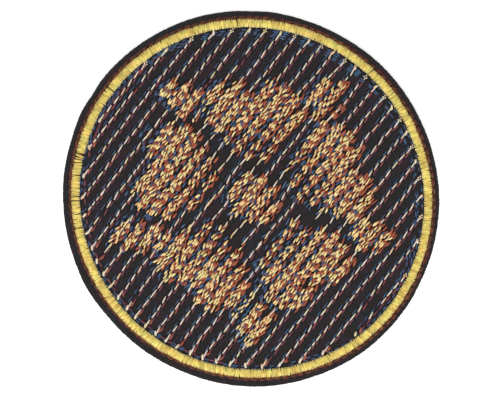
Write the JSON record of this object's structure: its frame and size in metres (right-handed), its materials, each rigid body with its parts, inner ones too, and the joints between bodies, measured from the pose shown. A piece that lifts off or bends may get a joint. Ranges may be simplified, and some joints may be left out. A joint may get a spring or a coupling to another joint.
{
  "type": "embroidered patch",
  "caption": "Round embroidered clothing patch with a raised satin-stitched border and slanted stitched lines that widen into a blossom.",
  "frame": {"origin": "middle of the patch's back face", "axes": "+Z out of the stitched face, +Y towards the top of the picture, +X to the right as seen from the front"},
  "size_m": [0.09, 0.0898, 0.002],
  "materials": {
    "twill": "black cotton twill with a stiff backing",
    "satin_thread": "glossy yellow embroidery thread",
    "outline_thread": "dark red embroidery thread",
    "inner_thread": "blue embroidery thread",
    "hatch_thread": "cream, red and blue embroidery threads"
  },
  "bodies": {
    "root": {"ground_fabric": "twill", "border_satin": "satin_thread", "outline_stitch": "outline_thread", "inner_run": "inner_thread", "hatch_line_1": "hatch_thread", "hatch_line_2": "hatch_thread", "hatch_line_3": "hatch_thread", "hatch_line_4": "hatch_thread", "hatch_line_5": "hatch_thread", "hatch_line_6": "hatch_thread", "hatch_line_7": "hatch_thread", "hatch_line_8": "hatch_thread", "hatch_line_9": "hatch_thread", "hatch_line_10": "hatch_thread", "hatch_line_11": "hatch_thread", "hatch_line_12": "hatch_thread", "hatch_line_13": "hatch_thread", "hatch_line_14": "hatch_thread", "hatch_line_15": "hatch_thread", "hatch_line_16": "hatch_thread", "hatch_line_17": "hatch_thread", "hatch_line_18": "hatch_thread", "hatch_line_19": "hatch_thread", "hatch_line_20": "hatch_thread", "hatch_line_21": "hatch_thread", "hatch_line_22": "hatch_thread", "hatch_line_23": "hatch_thread", "hatch_line_24": "hatch_thread", "hatch_line_25": "hatch_thread", "hatch_line_26": "hatch_thread", "hatch_line_27": "hatch_thread"}
  },
  "joints": []
}
